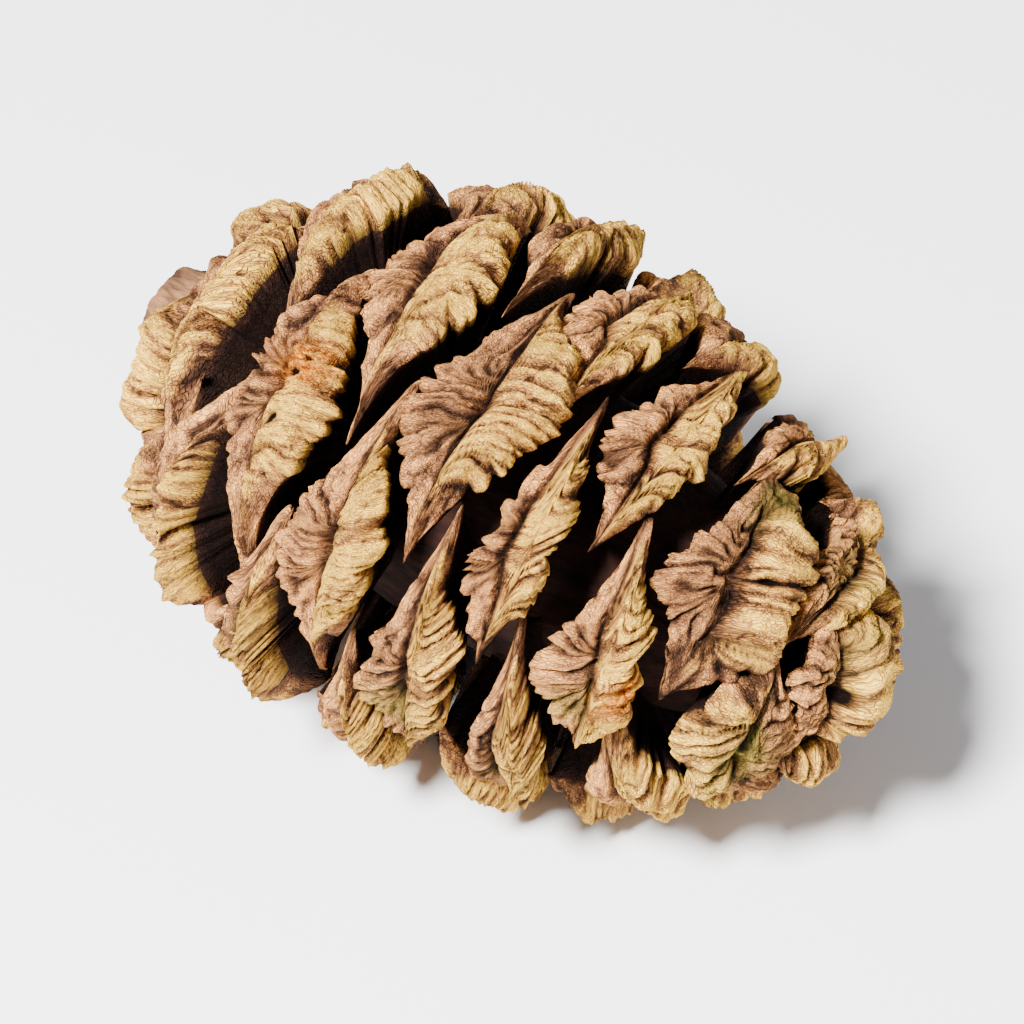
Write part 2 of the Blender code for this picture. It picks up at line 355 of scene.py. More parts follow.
class Patch:
    """One scale's own round patch of the egg, with an across and an up direction.

    Args:
        number: the scale's number, counted from the stalk.
        x: the scale's place along the axis.
        share: share of the egg's surface below the scale.
        egg: the shape that the scale lies on.
        spiral: how the scales follow each other.
        shape: what all the heads have in common.
        draw: the cone's random draws.
    """

    TRIAL_POINTS = 180
    RAY_STEPS = 6

    def __init__(self, number: int, x: float, share: float, egg: Egg, spiral: Spiral, shape: HeadShape,
                 draw: np.random.Generator) -> None:
        self.number, self.egg, self.shape = number, egg, shape
        self.size = draw.normal(1.0, shape.size_spread)
        spread = shape.lip_spread
        self.upper_lip = shape.upper_lip * draw.uniform(1 - spread, 1 + spread)
        self.lower_lip = shape.lower_lip * draw.uniform(1 - spread, 1 + spread)
        ranges = (shape.upper_range, shape.taper_range, shape.lower_range)
        drawn = HeadSize(*[draw.uniform(low, high) for low, high in ranges])
        self.head = HEAD_SIZES.get(number, drawn)
        self.angle = spiral.first_angle + spiral.turn * number + math.radians(self.head.swing)
        x += self.head.shift
        squared, slope = egg.radius_squared(x)
        out = np.array([0.0, -math.sin(self.angle), math.cos(self.angle)])
        self.middle = np.array([x, 0, 0]) + math.sqrt(squared) * out
        self.hub = np.array([x + slope / 2, 0, 0])
        self.radius = float(np.linalg.norm(self.middle - self.hub))
        self.normal = (self.middle - self.hub) / self.radius
        across = np.array([0.0, -math.cos(self.angle), -math.sin(self.angle)])
        up, spin = np.cross(self.normal, across), math.radians(self.head.spin)
        self.across = math.cos(spin) * across + math.sin(spin) * up
        self.up = np.cross(self.normal, self.across)
        near_stalk = math.exp(-share / shape.wide_reach)
        near_tip = math.exp(-(1 - share) / shape.wide_reach)
        self.lens = 1 - shape.round_at_ends * max(near_stalk, near_tip)
        self.wide = shape.wide_middle + (shape.wide_stalk - shape.wide_middle) * near_stalk
        self.wide += (shape.wide_tip - shape.wide_middle) * near_tip

    def flat_place(self, point: Array) -> Array:
        """Where a point of the egg lies on this patch, unrolled flat."""
        ray = (point - self.hub) / np.linalg.norm(point - self.hub)
        turned = math.acos(max(-1.0, min(1.0, float(ray @ self.normal))))
        sideways = np.array([ray @ self.across, ray @ self.up])
        return sideways * self.radius * turned / max(float(np.linalg.norm(sideways)), 1e-9)

    def find_neighbours(self, patches: list["Patch"], areas: Array) -> None:
        """Find the borders with the scales around this one, and so the head's two points."""
        shape, found = self.shape, []
        for number, other in enumerate(patches):
            if number == self.number or other.middle @ self.normal < self.hub @ self.normal:
                continue
            x, y = self.flat_place(other.middle)
            distance = math.hypot(x, self.wide * y)
            direction = math.atan2(self.wide * y, x)
            own, its = math.sqrt(areas[self.number]), math.sqrt(areas[number])
            border = distance * own / (own + its)
            border *= 1 + (shape.point_reach - 1) * abs(math.cos(direction)) ** shape.point_reach_power
            border -= shape.gap * math.hypot(math.cos(direction), self.wide * math.sin(direction))
            found.append((direction, border * self.size * self.head.grow))
        self.directions = np.array([direction for direction, _ in found])
        self.borders = np.array([border for _, border in found])
        trial = np.linspace(-math.pi, math.pi, self.TRIAL_POINTS)
        x, y = self.edge(trial)
        self.right_point = trial[x.argmax()]
        self.left_point = trial[x.argmin()] % (2 * math.pi)
        self.lean = (self.right_point + self.left_point - math.pi) / 2
        self.half_long = float(np.ptp(x)) / 2
        self.half_high = float(np.ptp(y)) / 2
        self.high, self.low = float(y.max()), float(-y.min())

    def edge(self, angle: Array) -> tuple[Array, Array]:
        """Flat places of the head's edge in each direction."""
        shape = self.shape
        facing = np.maximum(np.cos(angle[:, None] - self.directions), 0) / self.borders
        sharpness = shape.side_sharpness + shape.end_sharpness * (1 - self.lens)
        sharpness = sharpness + shape.point_sharpness * np.cos(angle) ** 4
        reach = (facing ** sharpness[:, None]).sum(axis=1) ** (-1 / sharpness)
        x, y = reach * np.cos(angle), reach * np.sin(angle) / self.wide
        along = np.minimum(np.abs(x) / reach.max(), 1)
        pinch = smooth_step(shape.pinch_start, shape.pinch_end, along)
        upper, lower = shape.upper_gap + shape.pinch * pinch, shape.lower_gap + shape.lower_pinch * pinch
        drawn_in = self.lens * np.where(y > 0, upper, lower)
        taper = 1 - self.head.taper * smooth_step(shape.taper_start, shape.taper_end, x / reach.max())
        y = y * (1 - drawn_in) * np.where(y > 0, self.head.upper * taper, self.head.lower)
        return x * (1 + self.lens * shape.point_stretch * along**3), y

    def on_egg(self, x: Array, y: Array) -> tuple[Array, Array]:
        """Points of the egg from flat places, as rays from the hub and their lengths."""
        reach = np.hypot(x, y)
        turned = reach / self.radius
        side = np.where(reach > 0, np.sin(turned) / np.maximum(reach, 1e-9), 0)
        ray = np.cos(turned)[:, None] * self.normal
        ray = ray + (side * x)[:, None] * self.across + (side * y)[:, None] * self.up
        length = np.full(len(ray), self.radius)
        for _ in range(self.RAY_STEPS):
            point = self.hub + length[:, None] * ray
            squared, slope = self.egg.radius_squared(point[:, 0])
            error = point[:, 1] ** 2 + point[:, 2] ** 2 - squared
            change = 2 * (point[:, 1] * ray[:, 1] + point[:, 2] * ray[:, 2]) - slope * ray[:, 0]
            length = length - error / change
        return ray, length


@dataclass(frozen=True)
class Sculpt:
    """The fine form of a head and its sides; lengths are in metres."""

    point_spacing: float = 0.185 * MM
    fewest_around: int = 190
    most_around: int = 310
    head_rings: int = 27
    ring_crowding: float = 0.86
    rim_rings: int = 2
    side_rings: int = 6
    low_share: float = 0.43
    split_spread: float = 0.16
    lip_place: float = 0.52
    lip_width: float = 0.46
    lip_end: float = 0.84
    low_place: float = -0.50
    low_width: float = 0.36
    groove: float = 0.95 * MM
    groove_width: float = 0.085
    groove_waver: float = 0.07
    head_slope: float = 0.3 * MM
    margin_drop: float = 1.1 * MM
    margin_power: float = 6.0
    point_drop: float = 0.5 * MM
    dimple: float = 0.8 * MM
    dimple_radius: float = 1.0 * MM
    lip_spacing: float = 1.35 * MM
    lip_crease: float = 0.74 * MM
    crease_paleness: float = 0.75
    furrow_paleness: float = 0.80
    lobe_spacing: float = 4.6 * MM
    low_spacing: float = 1.95 * MM
    low_crease: float = 0.50 * MM
    slant: float = 0.30
    knobs: float = 0.52 * MM
    grit: float = 0.13 * MM
    lumps: float = 0.40 * MM
    lobes: float = 1.75 * MM
    small_lobes: float = 0.42
    big_lobes: float = 0.80
    lobe_level: float = 0.75
    teeth: float = 1.00 * MM
    tooth_level: float = 0.65
    fray: float = 0.10 * MM
    wander: float = 0.75 * MM
    low_rim: float = 0.55 * MM
    low_rim_width: float = 0.16
    # painted highlight along the lower half's rim
    low_rim_highlight: float = 0.30
    fan_upper: float = 0.46
    fan_lower: float = 0.14
    fan_radius: float = 4.6 * MM
    rim_depth: float = 0.075
    side_share: float = 0.84
    side_depth: float = 0.26
    root_share: float = 0.50
    root_depth: float = 0.60
    undercut: float = 0.03
    side_ridge: float = 0.22 * MM
    side_spacing: float = 1.15 * MM
    rim_fall: float = 0.6 * MM
    side_fall: float = 9.0 * MM
    rim_tone: float = 0.05
    spot_fade: float = 12.0
    pit_depth: float = 0.7 * MM
    pit_rim: float = 0.3
    pit_rim_place: float = 1.8
    resin_depth: float = 0.35 * MM


@dataclass
class Ring:
    """What a head is like along one ring of its points.

    Attributes:
        share: share of the way from the head's middle to its edge.
        along: place from -1 to 1 between the two points.
        height: place from -1 at the edge towards the stalk to 1 at the edge towards the tip.
        off: height above the groove, in the same measure.
        groove: height of the groove.
        end: 1 in the middle of the head, falling to 0 where the upper lip ends.
        upper: 1 on the crests of the upper lip's wrinkles, 0 in its creases.
        lower: the same for the lower half.
        across: place across the wrinkles, in metres.
        down: place along them from the groove, in metres.
    """

    share: Array
    along: Array
    height: Array
    off: Array
    groove: Array
    end: Array
    upper: Array
    lower: Array
    across: Array
    down: Array


def ring_faces(around: int, ring_count: int) -> Faces:
    """Faces between rings of points, with a fan to the first point of all and one to the last.

    Args:
        around: number of points in a ring.
        ring_count: number of rings.

    Returns:
        The faces, by the numbers of their points.
    """
    here = np.arange(around)
    after = (here + 1) % around
    faces = [(0, 1 + int(a), 1 + int(b)) for a, b in zip(here, after)]
    for ring in range(ring_count - 1):
        start, below = 1 + ring * around, 1 + (ring + 1) * around
        quads = np.column_stack([start + here, below + here, below + after, start + after])
        faces += [tuple(quad) for quad in quads.tolist()]
    last, end = 1 + (ring_count - 1) * around, 1 + ring_count * around
    faces += [(end, last + int(b), last + int(a)) for a, b in zip(here, after)]
    return faces


class ScaleSculptor:
    """Makes one scale's mesh: the head, its rim, the sides and the root.

    Args:
        patch: the scale's place and outline.
        sculpt: the fine form.
        noise: the cone's noise.
        marks: the spots on this scale.
    """

    def __init__(self, patch: Patch, sculpt: Sculpt, noise: SmoothNoise, marks: list[Mark]) -> None:
        self.patch, self.sculpt, self.noise, self.marks = patch, sculpt, noise, marks
        slant, split = self._noise(np.array([7.3, 11.3]), np.array(1.9), Sheet.OWN)
        self.slant = sculpt.slant * slant
        below = sculpt.low_share * (patch.high + patch.low) - patch.low
        self.split = below / (patch.low if below < 0 else patch.high) + sculpt.split_spread * split
        self.angle = self._spread_angles()
        self.edge_x, self.edge_y = patch.edge(self.angle)
        self.reach = np.hypot(self.edge_x, self.edge_y)

    def _noise(self, x: Array, y: Array, sheet: float) -> Array:
        """Noise of this scale's own, from -1 to 1."""
        return self.noise.at(x, y, 3.0 * self.patch.number + sheet)

    def _spread_angles(self) -> Array:
        """Directions whose edge points lie about evenly along the edge."""
        s = self.sculpt
        trial = np.linspace(0, 2 * math.pi, 1441)
        x, y = self.patch.edge(trial)
        steps = np.hypot(np.diff(x), np.diff(y))
        count = int(np.clip(steps.sum() / s.point_spacing, s.fewest_around, s.most_around))
        steps = steps + 0.25 * steps.mean()
        along = np.concatenate([[0], np.cumsum(steps)]) / steps.sum()
        return np.interp(np.arange(count) / count, along, trial)

    def _fan(self, along: Array, off: Array) -> tuple[Array, Array]:
        """Wrinkle coordinates: across the wrinkles, and along them from the groove, in metres.

        The wrinkles leave the middle of the groove nearly at right angles, and fan out round its two ends.
        """
        s, patch = self.sculpt, self.patch
        x, y = along * patch.half_long, off * patch.half_high
        reach = np.where(off > 0, s.fan_upper, s.fan_lower) * patch.half_long
        beyond = np.maximum(np.abs(x) - reach, 0)
        turned = np.arctan2(beyond, np.abs(y) + 1e-6)
        across = np.sign(x) * (np.minimum(np.abs(x), reach) + s.fan_radius * turned)
        return across + self.slant * y, np.hypot(beyond, y)

    def _wrinkles(self, across: Array, down: Array, spacing: float, sheet: float) -> Array:
        """Rounded folds with sharp creases between them, from 0 in a crease to 1 on a crest."""
        bend = self._noise(across / (1.9 * spacing), down / (3.4 * MM), sheet)
        bend = bend + 0.45 * self._noise(across / (0.9 * spacing), down / (1.3 * MM), sheet + 0.5)
        folds = np.abs(np.sin(math.pi * (across / spacing + 0.62 * bend)))
        depth = 0.72 + 0.7 * self._noise(across / (1.1 * spacing), down / (2.6 * MM), sheet + 1.0)
        minor = np.abs(np.sin(math.pi * (2.35 * across / spacing + 0.9 * bend)))
        small = 0.14 + 0.5 * self._noise(across / (0.7 * spacing), down / (1.8 * MM), sheet + 1.5)
        creases = np.clip(depth, 0.25, 1) * (1 - folds**0.6) + np.clip(small, 0, 0.5) * (1 - minor**0.7)
        return np.clip(1 - creases, 0, 1)

    def _lobes(self, across: Array, down: Array) -> Array:
        """Big rounded lobes of the lip, from 0 in the furrows between them to 1."""
        spacing = self.sculpt.lobe_spacing
        bend = self._noise(across / (1.3 * spacing), down / (6.0 * MM), Sheet.LOBES)
        folds = np.abs(np.sin(math.pi * (across / spacing + 0.8 * bend + 0.37 * self.patch.number)))
        depth = 0.75 + 0.6 * self._noise(across / spacing, down / (4.0 * MM), Sheet.LOBES + 0.5)
        return 1 - np.clip(depth, 0.35, 1) * (1 - folds**0.42)

    def _lip_end(self, along: Array, height: Array) -> Array:
        """1 in the middle of the head, falling to 0 where the upper lip ends before the points."""
        lens = self.patch.lens
        wander = 0.08 * self._noise(along * 4, height * 3, Sheet.LIP_END)
        end = self.sculpt.lip_end * (0.55 + 0.45 * lens) + 0.3 * (1 - lens)
        return 1 - smooth_step(end - 0.30, end + 0.05, np.abs(along) + wander)

    def _ring(self, share: float) -> Ring:
        """What the head is like at a share of the way to its edge."""
        s, shares = self.sculpt, np.full(len(self.angle), share)
        turned = self.angle - self.patch.lean
        along, height = shares * np.cos(turned), shares * np.sin(turned)
        waver = s.groove_waver * self._noise(along * 2.5, 0 * along, Sheet.GROOVE)
        groove = self.split * (1 - along**2) + waver
        across, down = self._fan(along, height - groove)
        creases = s.crease_paleness * (1 - self._wrinkles(across, down, s.lip_spacing, Sheet.LIP))
        furrows = s.furrow_paleness * (1 - self._lobes(across, down))
        upper = np.clip(1 - creases - furrows, 0, 1)
        lower = self._wrinkles(across, down, s.low_spacing, Sheet.LOW)
        end = self._lip_end(along, height)
        return Ring(shares, along, height, height - groove, groove, end, upper, lower, across, down)

    def _metres(self, ring: Ring) -> tuple[Array, Array]:
        """How far a ring's points are from the head's middle, along and up."""
        return ring.along * self.patch.half_long, ring.height * self.patch.half_high

    def _from_mark(self, mark: Mark, ring: Ring) -> Array:
        """Distance from a spot's middle, in times its radius."""
        along, height = ring.along - mark.along, ring.height - mark.height
        return np.hypot(along * self.patch.half_long, height * self.patch.half_high) / mark.radius

    def _spots(self, ring: Ring, kind: MarkKind) -> Array:
        """Strength of the spots of one kind."""
        total = np.zeros(len(self.angle))
        for mark in self.marks:
            if mark.kind is kind:
                total = np.maximum(total, mark.strength * np.exp(-(self._from_mark(mark, ring) ** 2)))
        return total

    def _creases(self, ring: Ring) -> Array:
        """Depth of the wrinkles, less the knobs, the grit and the rolled edge of the lower half."""
        s = self.sculpt
        above, below = smooth_step(-0.02, 0.30, ring.off), smooth_step(0.02, -0.35, ring.off)
        creases = s.lip_crease * (1 - ring.upper) * above * (0.35 + 0.65 * ring.end)
        creases = creases + s.low_crease * (1 - ring.lower) * below
        knobs = np.abs(self._noise(ring.across / (0.8 * MM), ring.down / (1.1 * MM), Sheet.KNOBS))
        creases = creases - s.knobs * knobs * (0.5 + 0.5 * ring.share)
        x, y = self._metres(ring)
        creases = creases - s.grit * self._noise(x / (0.55 * MM), y / (0.55 * MM), Sheet.GRIT)
        rim = np.exp(-(((1 - ring.share) / s.low_rim_width) ** 2))
        return creases - s.low_rim * below * rim * ring.lower

    def _hollows(self, ring: Ring) -> Array:
        """Depth of the pits and of the sunken resin."""
        s, depth = self.sculpt, np.zeros(len(self.angle))
        x, y = self._metres(ring)
        for mark in self.marks:
            off = self._from_mark(mark, ring)
            if mark.kind is MarkKind.PIT:
                bowl = np.exp(-(off**2)) - s.pit_rim * np.exp(-((off - s.pit_rim_place) ** 2))
                depth = depth + s.pit_depth * mark.strength * bowl
            if mark.kind is MarkKind.RESIN:
                rough = 0.8 + self._noise(x / (0.7 * MM), y / (0.7 * MM), Sheet.RESIN)
                depth = depth + s.resin_depth * mark.strength * np.exp(-(off**4)) * rough
        return depth

    def _relief(self, ring: Ring) -> Array:
        """Height of the head's surface above the egg."""
        s, patch = self.sculpt, self.patch
        middle = 1 - ring.along**2
        lip_off = (ring.off / (1 - ring.groove) - s.lip_place) / s.lip_width
        low_off = (ring.off / (1 + ring.groove) - s.low_place) / s.low_width
        surface = patch.upper_lip * np.exp(-np.abs(lip_off) ** 3) * ring.end
        surface = surface + patch.lower_lip * np.exp(-(low_off**2)) * middle
        groove = np.exp(-np.abs(ring.off / s.groove_width) ** 1.5)
        surface = surface - s.groove * groove * (0.25 + 0.75 * middle)
        lumps = self._noise(ring.along * 2.2, ring.height * 1.6, Sheet.LUMPS)
        lumps = lumps + 0.5 * self._noise(ring.along * 5.5, ring.height * 3.2, Sheet.SMALL_LUMPS)
        surface = surface + s.lumps * lumps * (1 - ring.share**3)
        x, y = self._metres(ring)
        surface = surface - s.dimple * np.exp(-(x * x + y * y) / s.dimple_radius**2)
        margin = s.margin_drop * ring.share**s.margin_power + s.point_drop * ring.along**4
        return surface + s.head_slope * ring.height - self._creases(ring) - self._hollows(ring) - margin

    def _edge_wave(self, rim: Ring) -> Array:
        """How far the ragged edge lies beyond the plain one, as a share of its reach."""
        s = self.sculpt
        upper_side = smooth_step(-0.15, 0.15, rim.height)
        lobes = s.big_lobes * (self._lobes(rim.across, rim.down) - s.lobe_level)
        ragged = upper_side * s.lobes * (s.small_lobes * (rim.upper - s.tooth_level) + lobes)
        bite = 0.75 + 0.7 * self._noise(rim.across / (3.5 * MM), 0 * rim.across, Sheet.BITE)
        teeth = s.teeth * np.clip(bite, 0.2, 1.3) * (rim.lower - s.tooth_level)
        ragged = ragged + (1 - upper_side) * teeth
        ragged = ragged + s.fray * self._noise(rim.across / (0.45 * MM), 0 * rim.across, Sheet.FRAY)
        x, y = np.cos(self.angle), np.sin(self.angle)
        wander = self._noise(2.2 * x + 40, 2.2 * y + 40, Sheet.WANDER)
        wander = wander + 0.6 * self._noise(5 * x + 40, 5 * y + 40, Sheet.SMALL_WANDER)
        return (ragged + s.wander * wander) * (1 - 0.75 * rim.along**2) / self.reach

    def _points(self, stretch: Array, lift: Array | float, sink: float = 0.0) -> Array:
        """A ring of points.

        Args:
            stretch: share of the way to the plain edge, in each direction.
            lift: height above the egg, in metres.
            sink: share of the way from the egg down to the hub.

        Returns:
            The points in the cone's own frame.
        """
        ray, length = self.patch.on_egg(stretch * self.edge_x, stretch * self.edge_y)
        return self.patch.hub + (length * (1 - sink) + lift)[:, None] * ray

    def build(self, placement: Placement) -> tuple[Array, Faces, dict[Layer, Array]]:
        """Work out the whole scale.

        Args:
            placement: how the cone lies.

        Returns:
            Its points, its faces, and the values that its points carry.
        """
        s, rim = self.sculpt, self._ring(1.0)
        wave = self._edge_wave(rim)
        rings, layers = [], {layer: [] for layer in Layer}
        for share in np.linspace(0, 1, s.head_rings + 1)[1:] ** s.ring_crowding:
            ring = self._ring(float(share))
            relief = self._relief(ring)
            rings.append(self._points(share * (1 + wave * share**4), relief))
            self._note(layers, ring, 0.0, 0.0)
        for number in range(1, s.rim_rings + 1):
            t = number / s.rim_rings
            rings.append(self._points((1 + wave) * (1 - s.undercut * t), relief * (1 - t), s.rim_depth * t))
            self._note(layers, rim, s.rim_tone * t, s.rim_fall * t)
        ridge = self._wrinkles(rim.across, rim.down, s.side_spacing, Sheet.SIDE)
        depths = (s.rim_depth, s.side_depth, s.root_depth)
        shares = (1 - s.undercut, s.side_share, s.root_share)
        for number in range(1, s.side_rings + 1):
            t = number / s.side_rings
            depth = s.rim_depth + (s.root_depth - s.rim_depth) * t
            push = s.side_ridge * (ridge - 0.6) * (1 - 0.7 * t) / self.reach
            stretch = float(np.interp(depth, depths, shares)) * (1 + wave * (1 - t) ** 2 + push)
            rings.append(self._points(stretch, 0.0, depth))
            self._note(layers, rim, s.rim_tone + (1 - s.rim_tone) * t, s.rim_fall + s.side_fall * t)
        top = self._points(np.zeros(len(self.angle)), self._relief(self._ring(0.0)))[:1]
        points = np.concatenate([top, *rings, rings[-1].mean(axis=0, keepdims=True)])
        values = {}
        for layer, rows in layers.items():
            stacked = np.concatenate(rows)
            values[layer] = np.concatenate([stacked[:1], stacked, stacked[-1:]])
        return placement.lay_down(points), ring_faces(len(self.angle), len(rings)), values

    def _note(self, layers: dict[Layer, list], ring: Ring, depth: float, fall: float) -> None:
        """Keep what the finish needs to know about one ring of points.

        Args:
            layers: where it is kept.
            ring: the ring.
            depth: 0 on the head to 1 at the root.
            fall: how far the points are down from the head's edge, in metres.
        """
        s, even = self.sculpt, np.ones(len(self.angle))
        above = smooth_step(-0.03, 0.06, ring.off)
        # pale lower rim: a painted highlight where the edge catches the light
        pale = s.low_rim_highlight * smooth_step(0.70, 0.97, ring.share)
        # crest value: read as painted shade in the creases and a painted highlight on the crests
        crest = above * ring.upper + (1 - above) * np.minimum(ring.lower + pale, 1)
        groove = np.exp(-((ring.off / s.groove_width) ** 2)) * (1 - ring.along**2)
        grain = np.column_stack([ring.across, ring.down + fall, 0.02 * self.patch.number * even])
        layers[Layer.LIP].append(above * ring.end)
        # the groove line is painted darker, as painted shade under the lip
        layers[Layer.CREST_SHADE].append(crest * (1 - 0.85 * groove))
        layers[Layer.DEPTH].append(depth * even)
        layers[Layer.TONE].append((0.5 + 0.5 * math.sin(self.patch.number * 2.399)) * even)
        layers[Layer.GRAIN].append(grain / MM)
        for kind in MarkKind:
            layers[Layer(kind.value)].append(self._spots(ring, kind) * math.exp(-s.spot_fade * depth))


def linear(colour: str) -> tuple[float, float, float, float]:
    """Turn an sRGB hex colour, such as "#E8CC96", into linear light.

    Args:
        colour: a hash sign and six hex digits.

    Returns:
        Linear red, green and blue, and an alpha of 1.
    """
    parts = [int(colour[i : i + 2], 16) / 255 for i in (1, 3, 5)]
    red, green, blue = [c / 12.92 if c <= 0.04045 else ((c + 0.055) / 1.055) ** 2.4 for c in parts]
    return red, green, blue, 1.0


@dataclass(frozen=True)
class ScaleFinish:
    """Colours of a dry scale: lip and low from creases to crests, with painted shade in the creases and a
    painted highlight on the crests; side from the edge to the root, the flanks' own purple-brown darkened as
    painted shade in the gaps.
    """

    # lip and low: the dark stops are painted shade in the creases, the pale top stops a painted highlight on
    # the crests
    lip: tuple[str, ...] = ("#1C0D06", "#5A3820", "#A9743C", "#FFC64E")
    lip_stops: tuple[float, ...] = (0.07, 0.31, 0.56, 0.83)
    low: tuple[str, ...] = ("#1E100A", "#523422", "#95633E", "#E6A05A")
    low_stops: tuple[float, ...] = (0.14, 0.45, 0.73, 1.00)
    # side: the flanks' own purple-brown, darkened below the edge as painted shade in the gaps
    side: tuple[str, ...] = ("#3C241B", "#1E110D", "#24150F", "#4A2E26")
    side_stops: tuple[float, ...] = (0.03, 0.14, 0.34, 0.75)
    grey: str = "#5A4230"
    moss: tuple[str, str] = ("#34340E", "#B2A240")
    resin: tuple[str, str] = ("#8A3C08", "#E08824")
    pit: str = "#100604"
    roughness: float = 0.9
    resin_roughness: float = 0.45
    specular: float = 0.06
    relief: float = 0.42 * MM


@dataclass(frozen=True)
class WoodFinish:
    """Colours of the cut end of the stalk, its bark, and the woody core."""

    cut: tuple[str, str] = ("#8A5C30", "#C89A5A")
    bark: tuple[str, str] = ("#3A2216", "#8A6240")
    core: tuple[str, str] = ("#160A07", "#3A2018")
    roughness: float = 0.9
    relief: float = 0.3 * MM
    ring_spacing: float = 0.42 * MM


@dataclass(frozen=True)
class StudioFinish:
    """The floor and the light."""

    floor: str = "#FCFCFD"
    floor_roughness: float = 0.9
    floor_specular: float = 0.1
    sky: str = "#F3F6FF"
    sky_strength: float = 0.34


class NodeTree:
    """A material's nodes, added one at a time.

    Args:
        name: what the material is.
    """

    def __init__(self, name: str) -> None:
        self.material = bpy.data.materials.new(name)
        self.material.use_nodes = True
        self.tree = self.material.node_tree
        self.tree.nodes.clear()

    def add(self, kind: str, settings: dict[str, object] | None = None,
            inputs: dict[str | int, object] | None = None) -> bpy.types.Node:
        """Add a node with its settings, and fill or feed its inputs; None leaves an input alone."""
        node = self.tree.nodes.new(kind)
        for name, value in (settings or {}).items():
            setattr(node, name, value)
        for name, value in (inputs or {}).items():
            if isinstance(value, Socket):
                self.tree.links.new(value, node.inputs[name])
            elif value is not None:
                node.inputs[name].default_value = value
        return node

    def attribute(self, layer: Layer, output: str = "Fac") -> Socket:
        """What the mesh carries under a layer's name."""
        return self.add("ShaderNodeAttribute", {"attribute_name": layer.value}).outputs[output]

    def coordinates(self) -> Socket:
        """Places in the cone's own space, in metres."""
        return self.add("ShaderNodeTexCoord").outputs["Object"]

    def vector(self, operation: str, first: object, second: object = (0.0, 0.0, 0.0),
               output: str = "Vector") -> Socket:
        """One sum on two vectors."""
        node = self.add("ShaderNodeVectorMath", {"operation": operation}, {0: first, 1: second})
        return node.outputs[output]

    def noise(self, vector: object, scale: float, detail: float = 3.0, roughness: float = 0.55,
              distortion: float = 0.0, output: str = "Fac") -> Socket:
        """Noise from 0 to 1."""
        names = ("Vector", "Scale", "Detail", "Roughness", "Distortion")
        values = dict(zip(names, (vector, scale, detail, roughness, distortion)))
        return self.add("ShaderNodeTexNoise", None, values).outputs[output]

    def grained(self, grain: object, stretch: tuple[float, float, float], detail: float, roughness: float,
                distortion: float = 0.0) -> Socket:
        """Noise from 0 to 1 that is drawn out along a grain."""
        return self.noise(self.vector("MULTIPLY", grain, stretch), 1.0, detail, roughness, distortion)

    def math(self, operation: str, first: object, second: object = 0.0, clamp: bool = False) -> Socket:
        """One sum on two values."""
        settings = {"operation": operation, "use_clamp": clamp}
        return self.add("ShaderNodeMath", settings, {0: first, 1: second}).outputs["Value"]

    def spread(self, value: object, low: float, high: float, start: float = 0.0,
               end: float = 1.0) -> Socket:
        """Value mapped from low..high to start..end, kept inside."""
        values = {"Value": value, "From Min": low, "From Max": high, "To Min": start, "To Max": end}
        return self.add("ShaderNodeMapRange", {"clamp": True}, values).outputs["Result"]

    def ramp(self, factor: object, stops: tuple[float, ...], colours: tuple[str, ...]) -> Socket:
        """Colour from a factor, with sRGB hex colours at the stops."""
        node = self.add("ShaderNodeValToRGB", None, {"Fac": factor})
        elements = node.color_ramp.elements
        while len(elements) < len(stops):
            elements.new(0.5)
        for element, stop, colour in zip(elements, stops, colours):
            element.position = stop
            element.color = linear(colour)
        return node.outputs["Color"]

    def mix(self, factor: object, first: object, second: object, blend: str = "MIX") -> Socket:
        """Mix of two colours."""
        settings = {"data_type": "RGBA", "blend_type": blend}
        return self.add("ShaderNodeMix", settings, {0: factor, 6: first, 7: second}).outputs[2]

    def bump(self, height: object, distance: float) -> Socket:
        """Surface direction over a fine relief that is distance deep."""
        values = {"Height": height, "Distance": distance, "Strength": 1.0}
        return self.add("ShaderNodeBump", None, values).outputs["Normal"]

    def surface(self, colour: object, roughness: object, normal: Socket | None, specular: float) -> Material:
        """Close the tree with its shader.

        Returns:
            The finished material.
        """
        values = {"Base Color": colour, "Roughness": roughness, "Normal": normal}
        values["Specular IOR Level"] = specular
        shader = self.add("ShaderNodeBsdfPrincipled", None, values)
        self.add("ShaderNodeOutputMaterial", None, {"Surface": shader.outputs["BSDF"]})
        return self.material


def crack_pattern(nodes: NodeTree, grain: Socket) -> Socket:
    """Fine cracks between cells drawn out along the grain: 0 in a crack, 1 away from it."""
    warp = nodes.noise(grain, 0.9, 2.0, 0.5, 0.0, "Color")
    cells = nodes.vector("ADD", nodes.vector("MULTIPLY", grain, (1.35, 0.62, 1.0)), warp)
    crackle = nodes.add("ShaderNodeTexVoronoi", {"feature": "DISTANCE_TO_EDGE"}, {"Vector": cells})
    return nodes.spread(crackle.outputs["Distance"], 0.0, 0.16)


